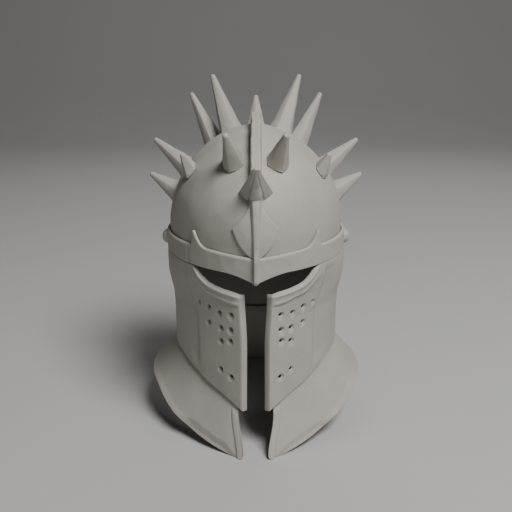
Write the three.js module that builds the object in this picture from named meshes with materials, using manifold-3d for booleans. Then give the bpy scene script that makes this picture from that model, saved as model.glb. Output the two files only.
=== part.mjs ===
// A spiked steel helmet: a domed skull on a keeled face wall with an eye slot and a breath slit,
// a brow band with a pointed nose guard, a flared neck collar, a comb and two rows of spikes.
// Millimetres. The wearer faces -Y, +Z is up, X = 0 is the plane of symmetry, Z = 0 is the surface
// that the collar's two front points and its back edge stand on.
import * as THREE from "three";
import { mergeVertices } from "three/addons/utils/BufferGeometryUtils.js";
import Module from "manifold-3d";

const wasm = await Module();
wasm.setup();

// Plate and clearances
const plate = 3;
const gap = 0.35;
const lapGap = 0.8;
const wrapGap = 0.5;

// Skull
const skullHalfWidth = 99.9;
const skullFront = 123.5;
const skullBack = 110;
const domeRise = 112;
const domeStartAboveBand = 5.5;
const domeTaper = 1.13;
const browKeel = 1.5;
const crownKeel = 2;
const skullLap = 9;

// Brow band, its front plate and the nose point
const bandLow = 203.5;
const bandHeight = 21.5;
const strapThickness = 2.1;
const browThickness = 3.2;
const bandBevel = 0.8;
const browPlateHalf = 71.5;
const noseDrop = 8.3;
const noseHalf = 34;
const thornHeight = 16.3;
const thornTipAt = 64.4;
const thornTipHalf = 0.6;
const thornInnerReach = 15;
const thornOuterReach = 2.4;

// Eye slot and breath slit
const eyeHeight = 23;
const eyeCorner = 0.665;
const lipWidth = 2.5;
const lipTurnIn = 2;
const weltWidth = 9;
const weltRise = 1.4;
const weltFoot = 4;
const slitHalfTop = 12.8;
const slitHalfMiddle = 10.3;
const slitHalfLow = 10.7;
const slitTurnWidth = 4.8;
const slitTurnDepth = 7;
const cheekCrease = 1.2;
const creaseTurn = 41.5;
const creaseHalfTurn = 6;

// Breath holes
const holeDiameter = 6.4;
const holeSides = 8;

// Neck seam and collar
const seamHeight = 93;
const collarLap = 8;
const rimHalfWidth = 125;
const rimFront = 145;
const rimBack = 118;
const rimKeel = 1.4;
const rimArch = 54;
const rimRoll = 1.6;
const rimRollWidth = 7;
const collarEdgeTop = 19.3;
const collarEdgeLow = 13.6;
const collarWeltWidth = 8;
const collarWeltRise = 1.2;

// Comb, leaf plate and front rib
const combWidth = 11.5;
const combTopWidth = 9;
const combHeight = 13;
const combFrontPolar = 51;
const combBackPolar = 36;
const leafTop = 58;
const leafHalf = 24.5;
const leafThickness = 1.8;
const ribTopAboveBand = 58;
const ribWidthTop = 12;
const ribWidthLow = 7;
const ribHeight = 5;

// Rivets
const rivetRadius = 8.3;
const rivetRise = 6.2;
const rivetForward = 10;

// Spikes
const spikeLength = 82;
const spikeWidth = 27;
const spikeTipRadius = 2.6;
const spikeFlare = 1.18;

// Sections of the face wall, from the band down to the floor.
// fall is the share of the band's height; half, front and back are shares of the reach at the band.
const wallRows = [
  { fall: 0.0, half: 1.0, front: 1.0, back: 1.0, keel: 1.5 },
  { fall: 0.05, half: 1.0, front: 1.0, back: 1.0, keel: 1.5 },
  { fall: 0.115, half: 0.998, front: 1.0, back: 0.992, keel: 1.36 },
  { fall: 0.15, half: 0.99, front: 1.0, back: 0.985, keel: 1.3 },
  { fall: 0.19, half: 0.976, front: 1.002, back: 0.98, keel: 1.26 },
  { fall: 0.23, half: 0.958, front: 1.004, back: 0.975, keel: 1.23 },
  { fall: 0.27, half: 0.944, front: 1.008, back: 0.97, keel: 1.2 },
  { fall: 0.455, half: 0.933, front: 1.016, back: 0.945, keel: 1.2 },
  { fall: 0.7, half: 0.95, front: 1.028, back: 0.915, keel: 1.2 },
  { fall: 1.0, half: 0.955, front: 1.035, back: 0.9, keel: 1.2 },
];

// Lower edge of the eye slot: out is a share of the half width, drop a share of the slot's height.
const eyeRows = [
  { out: 0.09, drop: 1.1 },
  { out: 0.125, drop: 1.0 },
  { out: 0.225, drop: 0.874 },
  { out: 0.348, drop: 0.8 },
  { out: 0.485, drop: 0.643 },
  { out: 0.571, drop: 0.37 },
  { out: 0.626, drop: 0.1 },
  { out: eyeCorner, drop: 0.0 },
];

// Seam between wall and collar: turn in degrees from the front, rise a share of the seam's height.
const seamRows = [
  { turn: 4, rise: 0.515 },
  { turn: 6.3, rise: 0.51 },
  { turn: 8, rise: 0.515 },
  { turn: 11, rise: 0.55 },
  { turn: 20, rise: 0.65 },
  { turn: 34, rise: 0.755 },
  { turn: 45, rise: 0.84 },
  { turn: 57, rise: 0.915 },
  { turn: 75, rise: 0.98 },
  { turn: 90, rise: 1.02 },
  { turn: 120, rise: 0.97 },
  { turn: 150, rise: 0.87 },
  { turn: 180, rise: 0.82 },
];

// Lower rim of the collar: turn in degrees from the front, rise a share of the shoulder arch.
const rimRows = [
  { turn: 4, rise: 0.0 },
  { turn: 10, rise: 0.0 },
  { turn: 18, rise: 0.06 },
  { turn: 29, rise: 0.18 },
  { turn: 38, rise: 0.3 },
  { turn: 45, rise: 0.43 },
  { turn: 53, rise: 0.57 },
  { turn: 61, rise: 0.73 },
  { turn: 66, rise: 0.83 },
  { turn: 75, rise: 0.9 },
  { turn: 90, rise: 0.92 },
  { turn: 107, rise: 1.0 },
  { turn: 122, rise: 0.99 },
  { turn: 137, rise: 0.84 },
  { turn: 150, rise: 0.45 },
  { turn: 161, rise: 0.08 },
  { turn: 168, rise: 0.0 },
  { turn: 180, rise: 0.0 },
];

// Leaf plate: rise is a share of its height above the band, half a share of its half width.
const leafRows = [
  { rise: 0.0, half: 0.48 },
  { rise: 0.07, half: 0.6 },
  { rise: 0.145, half: 0.72 },
  { rise: 0.295, half: 0.87 },
  { rise: 0.456, half: 1.0 },
  { rise: 0.52, half: 0.84 },
  { rise: 0.588, half: 0.69 },
  { rise: 0.727, half: 0.416 },
  { rise: 0.864, half: 0.29 },
  { rise: 1.0, half: 0.29 },
];

// Breath holes of one cheek: out is a share of the half width, fall a share of the band's height,
// size a share of the hole's diameter.
const holeRows = [
  { out: 0.62, fall: 0.213, size: 0.75 },
  { out: 0.515, fall: 0.225, size: 1 },
  { out: 0.4, fall: 0.242, size: 1 },
  { out: 0.27, fall: 0.238, size: 1 },
  { out: 0.527, fall: 0.314, size: 0.9 },
  { out: 0.392, fall: 0.325, size: 1 },
  { out: 0.28, fall: 0.322, size: 1 },
  { out: 0.393, fall: 0.399, size: 1 },
  { out: 0.287, fall: 0.385, size: 1 },
  { out: 0.398, fall: 0.56, size: 0.9 },
  { out: 0.278, fall: 0.588, size: 1 },
];

// Spikes: polar and turn place the foot on the dome, leanPolar and leanTurn point it, all in degrees,
// polar from straight up and turn from the front. long is a share of the longest spike's length,
// wide is its foot's diameter as a share of the spike width,
// and deep, where it is there, is the same across the other way.
const spikeRows = [
  {
    name: "rear_inner", polar: 29, turn: 147, leanPolar: 35, leanTurn: 150,
    long: 1, wide: 1.03, sides: 11,
  },
  {
    name: "rear_outer", polar: 46, turn: 143, leanPolar: 34.5, leanTurn: 133,
    long: 0.98, wide: 1.02, sides: 11,
  },
  {
    name: "side_upper", polar: 60.5, turn: 120, leanPolar: 56.5, leanTurn: 119,
    long: 0.8, wide: 1.02, sides: 11,
  },
  {
    name: "side_lower", polar: 74.8, turn: 109, leanPolar: 62, leanTurn: 112,
    long: 0.535, wide: 0.95, sides: 11,
  },
  {
    name: "front_inner", polar: 43, turn: 17.5, leanPolar: 42, leanTurn: 18,
    long: 0.488, wide: 0.852, sides: 9,
  },
  {
    name: "front_outer", polar: 51, turn: 62, leanPolar: 28, leanTurn: 62,
    long: 0.268, wide: 0.63, sides: 6,
  },
];
const frontSpike = {
  polar: 62, turn: 0, leanPolar: 48, leanTurn: 0,
  long: 0.537, wide: 1.148, deep: 0.667, sides: 4,
};
const rearSpike = {
  polar: 36, turn: 180, leanPolar: 40, leanTurn: 180,
  long: 0.756, wide: 1, sides: 11,
};

// Levels that follow from the sizes above
const bandHigh = bandLow + bandHeight;
const domeStart = bandHigh + domeStartAboveBand;
const wallTop = bandLow - gap;
const skullFrontEdge = bandLow + 2.5;
const skullSideEdge = bandLow - skullLap;
const lapReach = lapGap + plate;

// A smooth curve through one column of a table, with no overshoot between its rows.
function along(rows, key, column, at) {
  const last = rows.length - 1;
  if (at <= rows[0][key]) return rows[0][column];
  if (at >= rows[last][key]) return rows[last][column];
  let i = 0;
  while (at > rows[i + 1][key]) i += 1;
  const step = (k) => (rows[k + 1][column] - rows[k][column]) / (rows[k + 1][key] - rows[k][key]);
  const tangent = (k) => {
    if (k === 0 || k === last) return step(Math.min(k, last - 1));
    const before = step(k - 1);
    const after = step(k);
    return before * after <= 0 ? 0 : (2 * before * after) / (before + after);
  };
  const span = rows[i + 1][key] - rows[i][key];
  const s = (at - rows[i][key]) / span;
  const rise = rows[i + 1][column] - rows[i][column];
  const start = tangent(i) * span;
  const end = tangent(i + 1) * span;
  return rows[i][column] + s * (start + s * (3 * rise - 2 * start - end + s * (start + end - 2 * rise)));
}

function mix(a, b, share) {
  return a + (b - a) * share;
}

function ease(low, high, value) {
  const s = THREE.MathUtils.clamp((value - low) / (high - low), 0, 1);
  return s * s * (3 - 2 * s);
}

// A point of a plan section. turn runs from 0 at the front to PI at the back, negative on the left.
// The front half is keeled by its power, the back half is an ellipse; grow is added to every reach.
function planPoint(section, turn, height, grow) {
  const across = Math.abs(Math.sin(turn));
  const front = (section.front + grow) * Math.sqrt(Math.max(0, 1 - across ** section.keel));
  const back = (section.back + grow) * Math.abs(Math.cos(turn));
  const y = Math.abs(turn) <= Math.PI / 2 ? -front : back;
  return new THREE.Vector3((section.half + grow) * Math.sin(turn), y, height);
}

// The skull's surface: below the dome's start it is upright, above it closes to the crown.
// latitude runs from 0 at the dome's start to PI / 2 at the crown; below is a depth under the start.
function skullPoint(turn, latitude, below, grow) {
  const shrink = Math.cos(latitude) ** domeTaper;
  const section = {
    half: (skullHalfWidth + grow) * shrink,
    front: (skullFront + grow) * shrink,
    back: (skullBack + grow) * shrink,
    keel: mix(browKeel, crownKeel, Math.min(1, latitude / (Math.PI / 3))),
  };
  return planPoint(section, turn, domeStart + (domeRise + grow) * Math.sin(latitude) - below, 0);
}

// The skull's surface at a height, and at a height and a distance from the middle
function skullAtHeight(turn, height, grow) {
  const over = (height - domeStart) / (domeRise + grow);
  const latitude = over > 0 ? Math.asin(Math.min(1, over)) : 0;
  return skullPoint(turn, latitude, Math.max(0, domeStart - height), grow);
}

function skullBeside(x, height, grow) {
  const over = (height - domeStart) / (domeRise + grow);
  const shrink = over > 0 ? Math.cos(Math.asin(Math.min(1, over))) ** domeTaper : 1;
  const share = THREE.MathUtils.clamp(x / (skullHalfWidth * shrink), -1, 1);
  return skullAtHeight(Math.asin(share), height, grow);
}

function wallSection(height) {
  const fall = 1 - height / bandLow;
  return {
    half: along(wallRows, "fall", "half", fall) * (skullHalfWidth + lapReach),
    front: along(wallRows, "fall", "front", fall) * (skullFront + lapReach),
    back: along(wallRows, "fall", "back", fall) * (skullBack + lapReach),
    keel: along(wallRows, "fall", "keel", fall),
  };
}

function seamAt(turn) {
  return seamHeight * along(seamRows, "turn", "rise", Math.abs(THREE.MathUtils.radToDeg(turn)));
}

function rimAt(turn) {
  return rimArch * along(rimRows, "turn", "rise", Math.abs(THREE.MathUtils.radToDeg(turn)));
}

function eyeEdgeAt(turn) {
  if (Math.abs(turn) > Math.PI / 2) return wallTop;
  return wallTop - eyeHeight * along(eyeRows, "out", "drop", Math.abs(Math.sin(turn)));
}

// A geometry from points and triangles, with equal points merged and collapsed triangles left out,
// and its faces turned outwards.
function closedGeometry(points, faces) {
  const geometry = new THREE.BufferGeometry();
  const numbers = points.flatMap((p) => [p.x, p.y, p.z]);
  geometry.setAttribute("position", new THREE.Float32BufferAttribute(numbers, 3));
  geometry.setIndex(faces.flat());
  const merged = mergeVertices(geometry, 1e-4);
  const index = merged.index.array;
  const kept = [];
  for (let i = 0; i < index.length; i += 3) {
    const [a, b, c] = [index[i], index[i + 1], index[i + 2]];
    if (a !== b && b !== c && c !== a) kept.push(a, b, c);
  }
  const position = merged.attributes.position;
  const [a, b, c] = [new THREE.Vector3(), new THREE.Vector3(), new THREE.Vector3()];
  let volume = 0;
  for (let i = 0; i < kept.length; i += 3) {
    a.fromBufferAttribute(position, kept[i]);
    b.fromBufferAttribute(position, kept[i + 1]);
    c.fromBufferAttribute(position, kept[i + 2]);
    volume += a.dot(b.cross(c));
  }
  if (volume < 0) kept.reverse();
  merged.setIndex(kept);
  return merged;
}

// A sheet of plate between two grids of points, grid[column][row].
// A sheet that goes all round joins its last column to its first; one with a pole has no upper edge.
function sheet(outer, inner, { around = false, pole = false } = {}) {
  const columns = outer.length;
  const rows = outer[0].length;
  const points = [...outer.flat(), ...inner.flat()];
  const inside = columns * rows;
  const faces = [];
  const quad = (p, q, r, s) => faces.push([p, q, r], [p, r, s]);
  const at = (i, j) => (i % columns) * rows + j;
  for (let i = 0; i < (around ? columns : columns - 1); i += 1) {
    for (let j = 0; j < rows - 1; j += 1) {
      quad(at(i, j), at(i + 1, j), at(i + 1, j + 1), at(i, j + 1));
      quad(inside + at(i, j + 1), inside + at(i + 1, j + 1), inside + at(i + 1, j), inside + at(i, j));
    }
    quad(inside + at(i, 0), inside + at(i + 1, 0), at(i + 1, 0), at(i, 0));
    const top = rows - 1;
    if (!pole) quad(at(i, top), at(i + 1, top), inside + at(i + 1, top), inside + at(i, top));
  }
  for (let j = 0; j < (around ? 0 : rows - 1); j += 1) {
    quad(inside + at(0, j), at(0, j), at(0, j + 1), inside + at(0, j + 1));
    const end = columns - 1;
    quad(at(end, j), inside + at(end, j), inside + at(end, j + 1), at(end, j + 1));
  }
  return closedGeometry(points, faces);
}

// A grid of points from a list of columns and a list of rows
function grid(columns, rows, point) {
  return columns.map((column) => rows.map((row) => point(column, row)));
}

// Solids for cutting and joining, and back to geometry
function solidOf(geometry) {
  const mesh = new wasm.Mesh({
    numProp: 3,
    vertProperties: new Float32Array(geometry.attributes.position.array),
    triVerts: new Uint32Array(geometry.index.array),
  });
  return new wasm.Manifold(mesh);
}

function geometryOf(solid) {
  const mesh = solid.getMesh();
  const geometry = new THREE.BufferGeometry();
  geometry.setAttribute("position", new THREE.BufferAttribute(new Float32Array(mesh.vertProperties), 3));
  geometry.setIndex(new THREE.BufferAttribute(new Uint32Array(mesh.triVerts), 1));
  return geometry;
}

function bareGeometry(geometry) {
  geometry.deleteAttribute("normal");
  geometry.deleteAttribute("uv");
  return mergeVertices(geometry, 1e-4);
}

const degrees = THREE.MathUtils.degToRad;

// Skull
const skullTurns = Array.from({ length: 48 }, (_, i) => degrees(-180 + i * 7.5));
const skullLatitudes = Array.from({ length: 11 }, (_, i) => degrees(i * 9));

function skullEdge(turn) {
  const side = ease(eyeCorner + 0.03, eyeCorner + 0.13, Math.abs(Math.sin(turn)));
  return mix(skullFrontEdge, skullSideEdge, Math.abs(turn) > Math.PI / 2 ? 1 : side);
}

function skullGeometry() {
  const levels = [
    (turn, grow) => skullAtHeight(turn, skullEdge(turn), grow),
    (turn, grow) => skullAtHeight(turn, mix(skullEdge(turn), domeStart, 0.5), grow),
    ...skullLatitudes.map((latitude) => (turn, grow) => skullPoint(turn, latitude, 0, grow)),
  ];
  const outer = grid(skullTurns, levels, (turn, level) => level(turn, 0));
  const inner = grid(skullTurns, levels, (turn, level) => level(turn, -plate));
  return sheet(outer, inner, { around: true, pole: true });
}

// The space inside the skull's outer face, grown by a clearance; what sits on the skull is cut by it.
function skullSpace(grow) {
  const levels = [
    (turn) => skullAtHeight(turn, skullSideEdge, grow),
    ...skullLatitudes.map((latitude) => (turn) => skullPoint(turn, latitude, 0, grow)),
  ];
  const outer = grid(skullTurns, levels, (turn, level) => level(turn));
  const core = grid(skullTurns, levels, () => new THREE.Vector3(0, 0, skullSideEdge));
  return solidOf(sheet(outer, core, { around: true, pole: true }));
}

const seat = skullSpace(gap);

// Brow plate with its nose point and thorns, and the strap that goes round the sides and back
function browLow(x) {
  return bandLow - noseDrop * Math.max(0, 1 - Math.abs(x) / noseHalf) ** 1.7;
}

function browHigh(x) {
  const from = Math.abs(x) - thornTipAt;
  const reach = from < 0 ? thornInnerReach : thornOuterReach;
  const rise = THREE.MathUtils.clamp(1 - (Math.abs(from) - thornTipHalf) / reach, 0, 1);
  return bandHigh + thornHeight * rise ** (from < 0 ? 2.6 : 0.8);
}

const browSteps = [
  ...[0, 0.12, 0.25, 0.4, 0.58, 0.78, 1].map((share) => share * noseHalf),
  ...[1, 0.7, 0.45, 0.25, 0.11].map((share) => thornTipAt - share * thornInnerReach),
  thornTipAt - thornTipHalf,
  thornTipAt + thornTipHalf,
  thornTipAt + thornOuterReach,
  browPlateHalf,
];

const bandSteps = [
  { rise: 0, lift: -bandBevel },
  { rise: 0.12, lift: 0 },
  { rise: 0.88, lift: 0 },
  { rise: 1, lift: -bandBevel },
];

function browGeometry(grow) {
  const xs = [...browSteps.slice(1).map((x) => -x).reverse(), ...browSteps];
  const level = (x, step) => mix(browLow(x) - grow, browHigh(x) + grow, step.rise);
  const outer = grid(xs, bandSteps, (x, step) => (
    skullBeside(x, level(x, step), wrapGap + browThickness + step.lift + grow)));
  const inner = grid(xs, bandSteps, (x, step) => (
    skullBeside(x, level(x, step), grow > 0 ? -plate : wrapGap)));
  return sheet(outer, inner);
}

function strapGeometry() {
  const start = Math.asin(browPlateHalf / skullHalfWidth) + gap / skullHalfWidth;
  const between = skullTurns
    .map((turn) => turn + Math.PI)
    .filter((turn) => Math.abs(turn - Math.PI) < Math.PI - start);
  const turns = [start, ...between, 2 * Math.PI - start];
  const wrap = (turn) => (turn > Math.PI ? turn - 2 * Math.PI : turn);
  const level = (step) => mix(bandLow, bandHigh, step.rise);
  const outer = grid(turns, bandSteps, (turn, step) => (
    skullAtHeight(wrap(turn), level(step), wrapGap + strapThickness + step.lift)));
  const inner = grid(turns, bandSteps, (turn, step) => skullAtHeight(wrap(turn), level(step), wrapGap));
  return sheet(outer, inner);
}

// Leaf plate on the forehead
function leafGeometry(grow) {
  const low = bandHigh + gap - grow;
  const shares = [-1, -0.66, -0.33, 0, 0.33, 0.66, 1];
  const point = (share, row, offset) => {
    const height = mix(low, bandHigh + leafTop + grow, row.rise);
    return skullBeside(share * (leafHalf * row.half + grow), height, offset);
  };
  const outer = grid(shares, leafRows, (share, row) => point(share, row, wrapGap + leafThickness + grow));
  const inner = grid(shares, leafRows, (share, row) => point(share, row, grow > 0 ? -plate : wrapGap));
  return sheet(outer, inner);
}

// A bar along the middle plane, over a run of points on the skull's profile. Each station gives its
// foot, the outward direction there, its width at the foot and at the top, and its height.
function midlineBar(stations) {
  const sides = [-1, 1];
  const outer = grid(sides, stations, (side, s) => (
    s.foot.clone().addScaledVector(s.out, s.height).setX((side * s.topWidth) / 2)));
  const inner = grid(sides, stations, (side, s) => (
    s.foot.clone().addScaledVector(s.out, -plate).setX((side * s.width) / 2)));
  return sheet(outer, inner);
}

function profileStation(turn, latitude, below) {
  const foot = skullPoint(turn, latitude, below, 0);
  const out = skullPoint(turn, latitude, below, 1).sub(foot).normalize();
  return { foot, out };
}

// Spikes
function directionOf(polar, turn) {
  const [p, t] = [degrees(polar), degrees(turn)];
  return new THREE.Vector3(Math.sin(p) * Math.sin(t), -Math.sin(p) * Math.cos(t), Math.cos(p));
}

function isInSkull(point) {
  const over = (point.z - domeStart) / domeRise;
  if (over >= 1) return false;
  const shrink = over > 0 ? Math.cos(Math.asin(over)) ** domeTaper : 1;
  const isBeside = Math.abs(point.x) < skullHalfWidth * shrink;
  if (point.y < 0) return isBeside && point.y > skullBeside(point.x, point.z, 0).y;
  return Math.hypot(point.x / skullHalfWidth, point.y / skullBack) < shrink;
}

// The place where a ray from the middle of the dome's base leaves the skull
function footOn(polar, turn) {
  const direction = directionOf(polar, turn);
  const start = new THREE.Vector3(0, 0, domeStart);
  let [low, high] = [0, skullFront + domeRise];
  for (let i = 0; i < 40; i += 1) {
    const reach = (low + high) / 2;
    if (isInSkull(start.clone().addScaledVector(direction, reach))) low = reach;
    else high = reach;
  }
  return start.addScaledVector(direction, low);
}

function spikeSolid(row, side, grow) {
  const root = spikeWidth * row.wide;
  const radius = root / 2 + grow;
  const length = spikeLength * row.long + grow;
  const tip = spikeTipRadius + grow;
  const slope = (radius - tip) / length;
  const profile = [
    new THREE.Vector2(0, -root),
    new THREE.Vector2(radius * spikeFlare, -root),
    new THREE.Vector2(radius * spikeFlare, -0.06 * length),
    new THREE.Vector2(radius, 0.1 * length),
    new THREE.Vector2(tip + slope * tip, length - tip),
    new THREE.Vector2(tip * 0.7, length - 0.3 * tip),
    new THREE.Vector2(0, length),
  ];
  const cone = new THREE.LatheGeometry(profile, row.sides);
  cone.scale(1, 1, (row.deep ?? row.wide) / row.wide);
  const lean = directionOf(row.leanPolar, side * row.leanTurn);
  const across = new THREE.Vector3().crossVectors(lean, new THREE.Vector3(0, 0, 1)).normalize();
  const frame = new THREE.Matrix4().makeBasis(across, lean, new THREE.Vector3().crossVectors(across, lean));
  const foot = footOn(row.polar, row.turn);
  frame.setPosition(side * foot.x, foot.y, foot.z);
  cone.applyMatrix4(frame);
  return solidOf(bareGeometry(cone));
}

const frontMiddle = spikeSolid(frontSpike, 1, 0);
const rearMiddle = spikeSolid(rearSpike, 1, 0);

// Comb over the crown, between the two middle spikes
function combGeometry() {
  const count = 16;
  const stations = Array.from({ length: count + 1 }, (_, i) => {
    const polar = degrees(mix(combFrontPolar, -combBackPolar, i / count));
    const { foot, out } = profileStation(polar > 0 ? 0 : Math.PI, Math.PI / 2 - Math.abs(polar), 0);
    return { foot, out, width: combWidth, topWidth: combTopWidth, height: combHeight };
  });
  const bar = solidOf(midlineBar(stations));
  return geometryOf(bar.subtract(seat)
    .subtract(spikeSolid(frontSpike, 1, gap))
    .subtract(spikeSolid(rearSpike, 1, gap)));
}

// Rib from the front middle spike down the leaf plate to the nose point
function ribGeometry() {
  const top = bandHigh + ribTopAboveBand;
  const low = browLow(0) + gap;
  const count = 14;
  const stations = Array.from({ length: count + 1 }, (_, i) => {
    const height = mix(low, top, i / count);
    const foot = skullAtHeight(0, height, 0);
    const out = skullAtHeight(0, height, 1).sub(foot).normalize();
    const width = mix(ribWidthLow, ribWidthTop, Math.max(0, (2 * i) / count - 1) ** 1.5);
    const lift = gap + browThickness * ease(bandHigh + 12, bandHigh - 2, height);
    return { foot, out, width, topWidth: width * 0.5, height: lift + ribHeight };
  });
  const bar = solidOf(midlineBar(stations));
  return geometryOf(bar.subtract(seat)
    .subtract(solidOf(leafGeometry(gap)))
    .subtract(solidOf(browGeometry(gap)))
    .subtract(spikeSolid(frontSpike, 1, gap)));
}

// Face wall: from one edge of the breath slit round the back to the other
function slitHalf(height) {
  const middle = mix(seamHeight, bandLow, 0.25);
  const top = bandLow - eyeHeight;
  return height > middle
    ? mix(slitHalfMiddle, slitHalfTop, ease(middle, top, height))
    : mix(slitHalfMiddle, slitHalfLow, ease(middle, seamHeight / 2, height));
}

const slitSteps = [0, 0.4, 0.75, 1];
const wallDegrees = [13, 16.5, 20.5, 25, 29.5, 34, 38, creaseTurn, 45, 50, 57, 65, 74, 83, 92,
  102, 113, 124, 135, 146, 158, 169];

// The inward turn beside the slit, by the share of the way across it
function turnIn(share) {
  return slitTurnDepth * (1 - share) ** 1.6;
}

const wallColumns = [
  ...slitSteps.map((share) => ({ share })),
  ...wallDegrees.map((value) => ({ turn: degrees(value) })),
];

function wallTurn(column, height) {
  if (column.turn !== undefined) return column.turn;
  const x = slitHalf(height) + column.share * slitTurnWidth;
  return Math.asin(x / wallSection(height).half);
}

const wallEdgeSteps = [lipWidth + weltWidth + weltFoot, lipWidth + weltWidth, 1.5 * lipWidth, lipWidth, 0];
const wallShares = [0, 0.05, 0.2, 0.4, 0.6, 0.8];

function wallLevel(turn, row) {
  const top = eyeEdgeAt(turn);
  if (row.under !== undefined) return top - row.under;
  return mix(seamAt(turn), top - wallEdgeSteps[0], row.share);
}

// Relief of the wall: a lip and a welt under the eye slot, and a shallow crease down each cheek
function wallRelief(turn, under) {
  const nearEye = 1 - ease(eyeCorner - 0.08, eyeCorner + 0.03, Math.abs(Math.sin(turn)));
  const lip = -lipTurnIn * (1 - ease(0, lipWidth, under));
  const beyond = ease(lipWidth + weltWidth, lipWidth + weltWidth + weltFoot, under);
  const welt = weltRise * ease(0, 1.5 * lipWidth, under) * (1 - beyond);
  const isFront = Math.abs(turn) < Math.PI / 2;
  return isFront ? nearEye * (lip + welt) : 0;
}

function creaseAt(turn, under, over) {
  const from = Math.abs(THREE.MathUtils.radToDeg(turn)) - creaseTurn;
  const near = Math.max(0, 1 - Math.abs(from) / creaseHalfTurn);
  return -cheekCrease * near * ease(weltWidth, 3 * weltWidth, under) * ease(collarLap, 4 * collarLap, over);
}

function wallPoint(side, column, row, inward) {
  const guess = column.turn ?? degrees(8);
  let height = wallLevel(guess, row);
  let turn = wallTurn(column, height);
  height = wallLevel(turn, row);
  turn = wallTurn(column, height);
  const under = eyeEdgeAt(turn) - height;
  const drawIn = column.share === undefined ? 0 : turnIn(column.share);
  const offset = wallRelief(turn, under) + creaseAt(turn, under, height - seamAt(turn)) - drawIn - inward;
  return planPoint(wallSection(height), side * turn, height, offset);
}

function wallSolid() {
  const rows = [
    ...wallShares.map((share) => ({ share })),
    ...wallEdgeSteps.map((under) => ({ under })),
  ];
  const columns = [
    ...wallColumns.map((column) => ({ side: 1, column })),
    { side: 1, column: { turn: Math.PI } },
    ...[...wallColumns].reverse().map((column) => ({ side: -1, column })),
  ];
  const outer = grid(columns, rows, (c, row) => wallPoint(c.side, c.column, row, 0));
  const inner = grid(columns, rows, (c, row) => wallPoint(c.side, c.column, row, plate));
  return solidOf(sheet(outer, inner));
}

function wallSurface(side, out, height) {
  return planPoint(wallSection(height), side * Math.asin(out), height, 0);
}

function holeSolid(row, side) {
  const height = bandLow * (1 - row.fall);
  const centre = wallSurface(side, row.out, height);
  const across = wallSurface(side, row.out + 0.02, height).sub(centre);
  const up = wallSurface(side, row.out, height + 2).sub(centre);
  const normal = across.cross(up).normalize();
  const radius = (holeDiameter * row.size) / 2;
  const drill = new THREE.CylinderGeometry(radius, radius, 8 * plate, holeSides);
  drill.applyQuaternion(new THREE.Quaternion().setFromUnitVectors(new THREE.Vector3(0, 1, 0), normal));
  drill.translate(centre.x, centre.y, centre.z);
  return solidOf(bareGeometry(drill));
}

function wallGeometry() {
  let wall = wallSolid();
  for (const side of [-1, 1]) {
    for (const row of holeRows) wall = wall.subtract(holeSolid(row, side));
  }
  return geometryOf(wall);
}

// Neck collar: a flange inside the wall's lower edge, then a flare to the arched rim
const rimSection = { half: rimHalfWidth, front: rimFront, back: rimBack, keel: rimKeel };
const collarSteps = [0, 0.45, 1];
const flareShares = [0, 0.22, 0.45, 0.68, 0.86, 1];

function collarEdge(share) {
  return mix(collarEdgeTop, collarEdgeLow, ease(0.2, 1, share));
}

function collarPoint(side, column, row, inward) {
  const flare = Math.max(0, row.flare);
  const edge = collarEdge(flare) + (column.share ?? 0) * collarWeltWidth;
  const guess = column.turn ?? Math.asin(edge / mix(skullHalfWidth, rimHalfWidth, flare));
  const seam = seamAt(Math.max(guess, degrees(11)));
  const neckHeight = seam - gap;
  const neck = wallSection(row.flare < 0 ? seam + collarLap : neckHeight);
  const section = {};
  for (const key of ["half", "front", "back", "keel"]) {
    const inside = key === "keel" ? neck[key] : neck[key] - plate - gap;
    section[key] = mix(inside, rimSection[key], flare);
  }
  const turn = column.turn ?? Math.asin(edge / section.half);
  const height = row.flare < 0 ? seam + collarLap : mix(neckHeight, rimAt(turn), flare);
  const nearRim = ease(1 - rimRollWidth / (seam - rimAt(turn)), 1, flare);
  const welt = column.share === undefined ? 0 : collarWeltRise * (1 - column.share) * ease(0.05, 0.2, flare);
  const offset = inward > 0 ? -inward : rimRoll * nearRim + welt;
  return planPoint(section, side * turn, height, offset);
}

function collarGeometry() {
  const front = [
    ...collarSteps.map((share) => ({ share })),
    ...wallDegrees.slice(1).map((value) => ({ turn: degrees(value) })),
  ];
  const columns = [
    ...front.map((column) => ({ side: 1, column })),
    { side: 1, column: { turn: Math.PI } },
    ...[...front].reverse().map((column) => ({ side: -1, column })),
  ];
  const rows = [{ flare: -1 }, ...flareShares.map((flare) => ({ flare }))];
  const outer = grid(columns, rows, (c, row) => collarPoint(c.side, c.column, row, 0));
  const inner = grid(columns, rows, (c, row) => collarPoint(c.side, c.column, row, plate));
  return sheet(outer, inner);
}

// Rivets at the temples, on the strap
function rivetGeometry(side) {
  const profile = [
    new THREE.Vector2(0, -2 * plate),
    new THREE.Vector2(rivetRadius, -2 * plate),
    new THREE.Vector2(rivetRadius, 0.12 * rivetRise),
    new THREE.Vector2(0.9 * rivetRadius, 0.5 * rivetRise),
    new THREE.Vector2(0.6 * rivetRadius, 0.84 * rivetRise),
    new THREE.Vector2(0.25 * rivetRadius, 0.98 * rivetRise),
    new THREE.Vector2(0, rivetRise),
  ];
  const head = new THREE.LatheGeometry(profile, 16);
  head.rotateZ((-side * Math.PI) / 2);
  const reach = skullHalfWidth + wrapGap + strapThickness;
  head.translate(side * reach, -rivetForward, bandLow + bandHeight / 2);
  return geometryOf(solidOf(bareGeometry(head)).subtract(skullSpace(wrapGap + strapThickness + gap)));
}

// The assembly
const steel = new THREE.MeshStandardMaterial({ color: 0xa9a498, roughness: 0.62, metalness: 0.25 });
const helmet = new THREE.Group();
helmet.name = "spiked_helmet";

function add(name, geometry) {
  geometry.computeVertexNormals();
  const mesh = new THREE.Mesh(geometry, steel.clone());
  mesh.name = name;
  helmet.add(mesh);
}

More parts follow.
